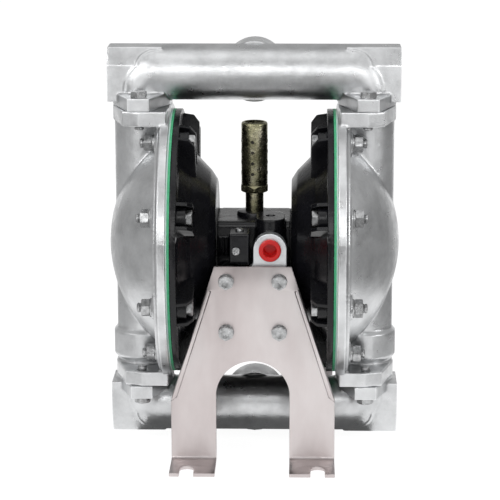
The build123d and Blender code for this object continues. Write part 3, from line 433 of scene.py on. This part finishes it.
# Cast nodes get rounded corners from modifiers on their solids; the number is the voxel size in
# millimetres
rounded = {
    "left_fluid_cap": 1.2, "right_fluid_cap": 1.2,
    "left_air_cap": 1.1, "right_air_cap": 1.1,
    "centre_body": 1.0, "pilot_cover": 0.7,
    "air_inlet_block": 0.8, "back_valve_cover": 1.0,
}
for name, voxel in rounded.items():
    node = nodes[name]
    weld = node.modifiers.new("weld", "WELD")
    weld.merge_threshold = 0.000002
    remesh = node.modifiers.new("remesh", "REMESH")
    remesh.mode = "VOXEL"
    remesh.voxel_size = voxel * MM
    remesh.use_smooth_shade = True
    smooth = node.modifiers.new("smooth", "SMOOTH")
    smooth.factor = 0.5
    smooth.iterations = 3


# Mesh tools; meshes are made in millimetres and scaled when they become objects

HEX_CORNER = 1.135  # worn corner of a hexagon, as a share of half its flats
HEX_CHAMFER = 0.95  # where the chamfer at its corners starts, as the same share


def hex_radius(flats, turn):
    """Distance from the middle to the side of a hexagon with slightly worn corners."""
    return min(flats / 2 / cos(turn % (pi / 3) - pi / 6), flats / 2 * HEX_CORNER)


def turned(mesh, place, axis, rings, spin=0.0, closed=False, count=48):
    """Add a turned solid in millimetres; a ring is (radius, height) or (flats, height, fall)."""
    matrix = Matrix.Translation(place) @ Vector(axis).to_track_quat("Z", "Y").to_matrix().to_4x4()
    rows = []
    for ring in rings:
        if ring[0] == 0:
            rows.append([mesh.verts.new(matrix @ Vector((0, 0, ring[1])))] * count)
            continue
        row = []
        for step in range(count):
            turn = 2 * pi * step / count
            radius, height = ring[0], ring[1]
            if len(ring) == 3:
                flats, _, fall = ring
                radius = hex_radius(flats, turn)
                height -= fall / 2 * max(0.0, radius - flats / 2 * HEX_CHAMFER)
            place_of = Vector((radius * cos(turn + spin), radius * sin(turn + spin), height))
            row.append(mesh.verts.new(matrix @ place_of))
        rows.append(row)
    if closed:
        rows.append(rows[0])
    for low, high in zip(rows, rows[1:]):
        for step in range(count):
            after = (step + 1) % count
            corners = list(dict.fromkeys((low[step], low[after], high[after], high[step])))
            mesh.faces.new(corners)


def object_of(mesh, name):
    """A mesh in millimetres as an object in the scene."""
    bmesh.ops.recalc_face_normals(mesh, faces=mesh.faces)
    bmesh.ops.scale(mesh, vec=(MM, MM, MM), verts=mesh.verts)
    data = bpy.data.meshes.new(name)
    mesh.to_mesh(data)
    mesh.free()
    made = bpy.data.objects.new(name, data)
    bpy.context.scene.collection.objects.link(made)
    return made


def shaded(piece, sharp):
    """Smooth shading with edges from an angle in degrees."""
    piece.data.shade_smooth()
    piece.data.set_sharp_from_angle(angle=radians(sharp))


def finished(mesh, name, body, slot, *replaced, sharp=28):
    """Turn a mesh in millimetres into a piece that rides on a body and stands for CAD nodes."""
    piece = object_of(mesh, name)
    shaded(piece, sharp)
    piece.data.materials.append(materials[slot])
    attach(piece, body)
    if replaced:
        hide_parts(*replaced)
    return piece


def modified(piece, *settings):
    """Add modifiers, each (type, {setting: value}), and bake them into the piece's mesh."""
    for kind, values in settings:
        modifier = piece.modifiers.new(kind.lower(), kind)
        for setting, value in values.items():
            setattr(modifier, setting, value)
    bpy.context.view_layer.update()
    baked = bpy.data.meshes.new_from_object(piece.evaluated_get(bpy.context.evaluated_depsgraph_get()))
    piece.modifiers.clear()
    piece.data = baked


def carved(piece, mesh):
    """Cut a mesh in millimetres out of a piece."""
    cutter = object_of(mesh, piece.name + "_cutter")
    modified(piece, ("BOOLEAN", {"operation": "DIFFERENCE", "object": cutter, "solver": "EXACT"}))
    bpy.data.objects.remove(cutter)


def hull(mesh, points):
    """Add the convex body around some points."""
    made = [mesh.verts.new(point) for point in points]
    result = bmesh.ops.convex_hull(mesh, input=made)
    loose = [item for item in result["geom_interior"] if isinstance(item, bmesh.types.BMVert)]
    bmesh.ops.delete(mesh, geom=loose, context="VERTS")


def prism(mesh, outline, start, end):
    """Add an upright slice of an outline in Y and Z between two places along X."""
    hull(mesh, [(x, y, z) for x in (start, end) for y, z in outline])


def drum(mesh, place, axis, radius, length, count=96):
    """Add a closed cylinder with its middle on the place."""
    half = length / 2
    turned(mesh, place, axis, [(0, half), (radius, half), (radius, -half), (0, -half)], count=count)


def threads(radius, start, end, pitch=1.5):
    """Rings of a thread that runs down from start to end."""
    root = radius - thread_depth
    rings = []
    height = start
    while height - pitch > end + 1.0:
        rings += [(radius, height), (radius, height - 0.25), (root, height - 0.7), (root, height - 0.9)]
        height -= pitch
    return rings + [(radius, height), (radius, end + 0.9), (radius - 0.9, end), (0, end)]


def bolt(mesh, place, axis, length, spin, flats=16.0, height=6.4):
    """Hexagon bolt, its head on the place and its shank down the axis."""
    half = flats / 2
    turned(mesh, place, axis, [
        (0, height - 0.3), (half * 0.66, height - 0.3), (half * 0.74, height), (half * 0.95, height),
        (flats, height, 1), (flats, 0.5, 0), (half * 0.96, 0.25), (half * 0.96, 0), (bolt_radius, 0),
        *threads(bolt_radius, -length + thread_length, -length)], spin)


def nut(mesh, place, axis, spin):
    """Hexagon nut that stands on the place."""
    half = nut_flats / 2
    turned(mesh, place, axis, [
        (bolt_radius, nut_height - 0.7), (bolt_radius + 0.8, nut_height), (half * 0.95, nut_height),
        (nut_flats, nut_height, 1), (nut_flats, 0, -1), (half * 0.95, 0), (bolt_radius + 0.6, 0),
        (bolt_radius, 0.7)], spin, closed=True)


def washer(mesh, place, axis, height, outer=9.8):
    """Flat washer that stands on the place."""
    turned(mesh, place, axis, [
        (washer_hole, 0), (outer - 0.25, 0), (outer, 0.25), (outer, height - 0.25), (outer - 0.3, height),
        (washer_hole + 0.3, height), (washer_hole, height - 0.3)], closed=True)


# Fasteners; a spin in radians turns each head and nut its own way, as a fitter leaves them

bolt_turns = [pi / 8 + k * pi / 4 for k in range(8)]
cap_places = [(cap_bolt_circle * cos(turn), cap_bolt_circle * sin(turn)) for turn in bolt_turns]
nut_face = pad_face + cap_washer
washers = bmesh.new()
for side, word in ((-1, "left"), (1, "right")):
    bolts, nuts = bmesh.new(), bmesh.new()
    for k, (y, z) in enumerate(cap_places):
        z += SHAFT
        bolt(bolts, (side * lug_face, y, z), (-side, 0, 0), nut_face + bolt_end - lug_face, k * 1.9 + side)
        nut(nuts, (side * nut_face, y, z), (side, 0, 0), k * 2.7 + side)
        washer(washers, (side * pad_face, y, z), (side, 0, 0), cap_washer)
    finished(bolts, f"{word}_hexagon_bolts", "pump_body", "bolt_steel", f"{word}_cap_bolts")
    finished(nuts, f"{word}_hexagon_nuts", "pump_body", "bolt_steel", f"{word}_cap_nuts")
finished(washers, "flat_washers", "pump_body", "bolt_steel", "cap_washers")

corners = [(x, y) for y in (-lug_bolt_reach, lug_bolt_reach) for x in (-leg_offset, leg_offset)]
for side, word in ((1, "discharge"), (-1, "suction")):
    bolts = bmesh.new()
    for k, (x, y) in enumerate(corners):
        place = (x, y, SHAFT + side * foot_face)
        bolt(bolts, place, (0, 0, side), lug_bolt_length, k * 1.3 + side * 0.4)
    finished(bolts, f"{word}_hexagon_bolts", "pump_body", "bolt_steel", f"{word}_manifold_bolts")

bolts, washers = bmesh.new(), bmesh.new()
for side in (-1, 1):
    axis = (0, side, 0)
    for k, (x, z) in enumerate(bracket_bolts_at):
        place = (x, side * (bracket_face + bracket_washer), SHAFT + z)
        bolt(bolts, place, axis, bracket_bolt_length, k * 2.1 + 0.5, flats=14.6, height=6.0)
        washer(washers, (x, side * bracket_face, SHAFT + z), axis, bracket_washer, outer=8.3)
finished(bolts, "stand_bolts", "pump_body", "bolt_steel", "bracket_bolts")
finished(washers, "stand_washers", "pump_body", "bolt_steel", "bracket_washers")

screws = bmesh.new()
top_screw = (top_screw_x, top_screw_y, SHAFT + cover_top)
front_screw = (front_screw_x, cover_front, SHAFT + front_screw_z)
for place, axis in ((top_screw, (0, 0, 1)), (front_screw, (0, -1, 0))):
    turned(screws, place, axis, [
        (0, 2.6), (2.0, 2.6), (3.4, 2.35), (4.3, 1.7), (4.6, 0.9), (4.6, 0), (2.5, 0), (2.5, -11.4),
        (2.0, -12), (0, -12)])
screw_piece = finished(screws, "slotted_and_crosshead_screws", "pump_body", "bolt_steel", "cover_screws")

# One box cuts the slot of the top screw and two cut the cross of the front screw
slot_middle = (top_screw_x, top_screw_y, SHAFT + cover_top + 2.4)
cross_middle = (front_screw_x, cover_front - 2.2, SHAFT + front_screw_z)
for place, sizes, axis in (
        (slot_middle, (1.2, 12, 2.2), "Z"),
        (cross_middle, (5.6, 2.6, 1.3), "Y"),
        (cross_middle, (1.3, 2.6, 5.6), "Y")):
    box = bmesh.new()
    matrix = Matrix.Translation(place) @ Matrix.Rotation(slot_turn, 4, axis) @ Matrix.Diagonal((*sizes, 1))
    bmesh.ops.create_cube(box, size=1, matrix=matrix)
    carved(screw_piece, box)

plug = bmesh.new()
turned(plug, (inlet_x, inlet_front, SHAFT + inlet_z), (0, -1, 0), [
    (0, -11.8), (6.2, -11.8), (6.7, -11.2), (7.0, 3.4), (7.5, 4.0), (10.6, 4.0), (11.5, 3.5), (11.8, 2.7),
    (11.8, 0.5), (11.5, 0), (9.2, 0), *threads(9.2, -0.8, -13, 1.8)], count=64)
finished(plug, "thread_plug", "inlet_plug", "red_plastic", "inlet_plug")


# Manifolds: a bent tube that swells out of flat-sided end blocks

straight = leg_offset - bend_radius  # middle plane to the start of the bend
bend_start = manifold_rise - bend_radius
bend_steps, lip_steps, foot_steps = 12, 60, 24


def manifold(side, word, shoulder):
    """Build one manifold; its heights count away from the shaft, up or down."""
    def at(x, y, z):
        return (x, y, SHAFT + side * z)

    def slice_of(outline, start, end):
        prism(mesh, [(y, SHAFT + side * (manifold_rise + z)) for y, z in outline], start, end)

    mesh = bmesh.new()
    block = [(crown_half_width, block_crown), (block_half_width, shoulder), (block_half_width, block_foot)]
    block += [(-y, z) for y, z in reversed(block)]
    crown = [block[0], block[1], block[4], block[5]]
    face_slope = (block_half_width - crown_half_width) / (block_crown - shoulder)
    foot = [
        (foot_radius * cos(k * pi / foot_steps), foot_radius * sin(k * pi / foot_steps))
        for k in range(2 * foot_steps)
    ]
    foot += [(x, y) for x in (-lug_half_width, lug_half_width) for y in (-lug_reach, lug_reach)]
    drum(mesh, at(0, 0, manifold_rise), (1, 0, 0), tube_radius, 2 * straight)
    for end in (-1, 1):
        leg_middle = at(end * leg_offset, 0, (cap_half_height + bend_start) / 2)
        drum(mesh, leg_middle, (0, 0, 1), tube_radius, bend_start - cap_half_height)
        for step in range(bend_steps + 1):
            turn = pi / 2 * step / bend_steps
            place = at(end * (straight + bend_radius * sin(turn)), 0, bend_start + bend_radius * cos(turn))
            drum(mesh, place, (end * cos(turn), 0, -side * sin(turn)), tube_radius, bend_slice)
        slice_of(block, end * block_end, end * block_start)
        slice_of(crown, end * (block_start + 1), end * crown_start)
        # A raised lip where the bend comes out of the block's faces, found by coming closer
        for step in range(lip_steps + 1):
            turn = pi / 2 * step / lip_steps
            out = (tube_radius**2 - block_half_width**2) ** 0.5
            for _ in range(20):
                above = max(0.0, bend_radius * (cos(turn) - 1) + out * cos(turn) - shoulder)
                face = block_half_width - face_slope * above
                out = max(0.0, tube_radius**2 - face**2) ** 0.5
            reach = bend_radius + out
            for front in (-1, 1):
                place = at(end * (straight + reach * sin(turn)), front * face, bend_start + reach * cos(turn))
                bmesh.ops.create_icosphere(
                    mesh, subdivisions=2, radius=lip_radius, matrix=Matrix.Translation(place))
        hull(mesh, [at(end * leg_offset + x, y, z) for x, y in foot for z in (cap_half_height, foot_face)])
    drum(mesh, at(0, port_face / 2, manifold_rise), (0, 1, 0), port_boss_radius, port_face)
    piece = finished(mesh, f"{word}_casting", "pump_body", "stainless_casting", f"{word}_manifold", sharp=180)
    modified(piece, ("REMESH", {"mode": "VOXEL", "voxel_size": 1.0 * MM}),
             ("SMOOTH", {"factor": 0.5, "iterations": 4}))
    bore = bmesh.new()
    bore_middle = at(0, (port_inner + port_outer) / 2, manifold_rise)
    drum(bore, bore_middle, (0, 1, 0), port_radius, port_outer - port_inner)
    carved(piece, bore)
    shaded(piece, 40)


manifold(1, "discharge", discharge_shoulder)
manifold(-1, "suction", suction_shoulder)

# Ribs that flank each bolt on the air caps; the outline is (from the shaft, from the middle plane)
rib_outline = [(86, 70), (90, 60.5), (128, 61), (136, 67), (138, 79), (100, 79)]
rib_offset, rib_half = 12.6, 2.0
for side, word in ((-1, "left"), (1, "right")):
    mesh = bmesh.new()
    for y, z in cap_places:
        out = Vector((0, y, z)).normalized()
        across = Vector((0, -out.z, out.y))
        for flank in (-rib_offset, rib_offset):
            points = []
            for radius, depth in rib_outline:
                for thick in (-rib_half, rib_half):
                    place = out * radius + across * (flank + thick)
                    points.append((side * depth, place.y, SHAFT + place.z))
            hull(mesh, points)
    ribs = finished(mesh, f"{word}_air_cap_ribs", "pump_body", "black_paint")
    modified(ribs, ("BEVEL", {"width": 0.9 * MM, "segments": 3, "limit_method": "ANGLE"}))
    ribs.data.shade_smooth()

# Muffler on its pad, with holes in seven columns of four and five by turns
upright = (0, 0, 1)
mesh = bmesh.new()
turned(mesh, (0, 0, SHAFT + body_top), upright, [
    (9.9, 5.0), (17.0, 5.0), (18.2, 4.6), (18.7, 3.6), (19.2, -0.5), (9.9, -0.5)], closed=True)
finished(mesh, "muffler_pad", "pump_body", "black_paint")

mesh = bmesh.new()
turned(mesh, (0, 0, SHAFT + shell_bottom), upright, [
    (13.2, 0.2), (13.2, 67.0), (11.2, 67.6), (10.8, 68.3), (11.4, 69.0), (12.8, 69.0), (13.8, 68.2),
    (shell_radius, 66.6), (shell_radius, 0.5), (13.9, 0), (13.4, 0)], closed=True, count=96)
shell = finished(mesh, "perforated_shell", "pump_body", "muffler_brass", "muffler_shell", sharp=40)
holes, rims = bmesh.new(), bmesh.new()
for column in range(7):
    turn = radians(first_column + column_turn * column)
    axis = (cos(turn), sin(turn), 0)
    first, pitch, count = hole_rows[column % 2]
    for row in range(count):
        height = SHAFT + shell_bottom + first + row * pitch
        place = (shell_radius * cos(turn), shell_radius * sin(turn), height)
        drum(holes, place, axis, hole_radius, 6, 20)
        turned(rims, place, axis, [
            (hole_radius, -0.5), (hole_radius + 0.05, -0.1), (2.3, 0.02), (2.7, -0.3), (2.7, -0.7)],
            closed=True, count=20)
carved(shell, holes)
shaded(shell, 40)
finished(rims, "hole_rims", "pump_body", "muffler_brass", sharp=60)

mesh = bmesh.new()
turned(mesh, (0, 0, SHAFT + body_top), upright, [
    (7, -14), (9.2, -14), (9.75, -13), (9.75, 25.4), (10.6, 25.9), (13.6, 26), (neck_flats, 26, -1.6),
    (neck_flats, 34.2, 2.6), (13.8, 34.2), (7, 33)], spin=pi / 6, closed=True, count=96)
finished(mesh, "muffler_neck", "pump_body", "muffler_brass", "muffler_fitting")


# Stand brackets: a flat blank each, bent at the heel, with rims folded back along the slanted edges

middle_face = bracket_face - sheet / 2
heel_top = heel_radius + sheet / 2
heel_start = blank_top - heel_top
heel_end = heel_start + heel_radius * pi / 2
blank_end = heel_end + toe_reach - middle_face - heel_radius


def bent(x, down, side):
    """Place on the bent middle surface for a place on the flat blank."""
    if down < heel_start:
        return (x, side * middle_face, blank_top - down)
    if down < heel_end:
        turn = (down - heel_start) / heel_radius
        out = heel_radius - heel_radius * cos(turn)
        return (x, side * (middle_face + out), heel_top - heel_radius * sin(turn))
    return (x, side * (middle_face + heel_radius + down - heel_end), sheet / 2)


def slanted(z):
    """Half width of the blank at a height above the knee."""
    return top_half + (foot_half - top_half) * (blank_top - z) / (blank_top - knee)


# Rows of the blank, each (down, inner edge, edges of the slot, outer edge); above the arch the two
# halves meet, and above the slot its edges are one seam
rows = []
for z in (blank_top, rim_top):
    rows.append((blank_top - z, 0, top_seam, top_seam, slanted(z)))
rows.append((blank_top - rim_top + 2, 0, top_seam, top_seam, slanted(rim_top - 2) - rim_width))
arch_rise = arch_top - arch_foot
arch_radius = (arch_rise**2 + leg_inner**2) / (2 * arch_rise)
arch_steps, slot_steps = 16, 8
for k in range(arch_steps + 1):
    x = leg_inner * sin(pi / 2 * k / arch_steps)
    z = arch_top - arch_radius + (arch_radius**2 - x**2) ** 0.5
    outer = slanted(z) - rim_width
    seam = (x + outer) / 2
    rows.append((blank_top - z, x, seam, seam, outer))
for over_knee, outer in (
        (3, slanted(knee + 3) - rim_width), (0.5, foot_half - rim_width * 0.6), (-2, foot_half)):
    rows.append((blank_top - knee - over_knee, leg_inner, slot_x, slot_x, outer))
for k in range(slot_steps + 1):
    down = heel_start + (heel_end - heel_start) * k / slot_steps
    rows.append((down, leg_inner, slot_x, slot_x, foot_half))
for k in range(slot_steps + 1):
    turn = pi / 2 * k / slot_steps
    reach = slot_half * sin(turn)
    down = blank_end - slot_depth + slot_half * (1 - cos(turn))
    rows.append((down, leg_inner, slot_x - reach, slot_x + reach, foot_half))
rows.append((blank_end, leg_inner, slot_x - slot_half, slot_x + slot_half, foot_half))

# Rims in sections, each (height, share of the full width)
rim_sections = ((rim_top, 0.35), (rim_top - 3, 0.9), (knee + 5, 1.0), (knee + 1.5, 0.75), (knee - 0.5, 0.3))
rim_front = bracket_face + 0.15
for side, word in ((-1, "front"), (1, "back")):
    mesh = bmesh.new()
    for end in (-1, 1):
        for columns in ((1, 2), (3, 4)):
            near, far = (
                [mesh.verts.new(bent(end * row[column], row[0], side)) for row in rows] for column in columns)
            for k in range(len(rows) - 1):
                mesh.faces.new((near[k], near[k + 1], far[k + 1], far[k]))
    bmesh.ops.remove_doubles(mesh, verts=mesh.verts, dist=0.001)
    blank = finished(mesh, f"{word}_stand", "pump_body", "bracket_sheet", f"{word}_bracket", sharp=35)
    modified(blank, ("SOLIDIFY", {"thickness": sheet * MM, "offset": 0.0}),
             ("BEVEL", {"width": 0.5 * MM, "segments": 2, "limit_method": "ANGLE",
                        "angle_limit": radians(50)}))
    rims = bmesh.new()
    for end in (-1, 1):
        points = []
        for z, share in rim_sections:
            width = (rim_width - 0.25) * share
            outer = end * slanted(max(z, knee))
            inner = outer - end * width
            for k in range(7):
                turn = k * pi / 12
                place = (inner + end * width * sin(turn), side * (rim_front - width * (1 - cos(turn))), z)
                points.append(place)
            points += [(outer, side * rim_back, z), (inner, side * rim_back, z)]
        hull(rims, points)
    rim = finished(rims, f"{word}_stand_rims", "pump_body", "bracket_sheet", sharp=35)
    modified(rim, ("BEVEL", {"width": 0.3 * MM, "segments": 2, "limit_method": "ANGLE",
                             "angle_limit": radians(40)}))
    for piece in (blank, rim):
        shaded(piece, 40)

for name, node in nodes.items():
    node.data.materials.clear()
    node.data.materials.append(materials[slot_of.get(name, "bolt_steel")])
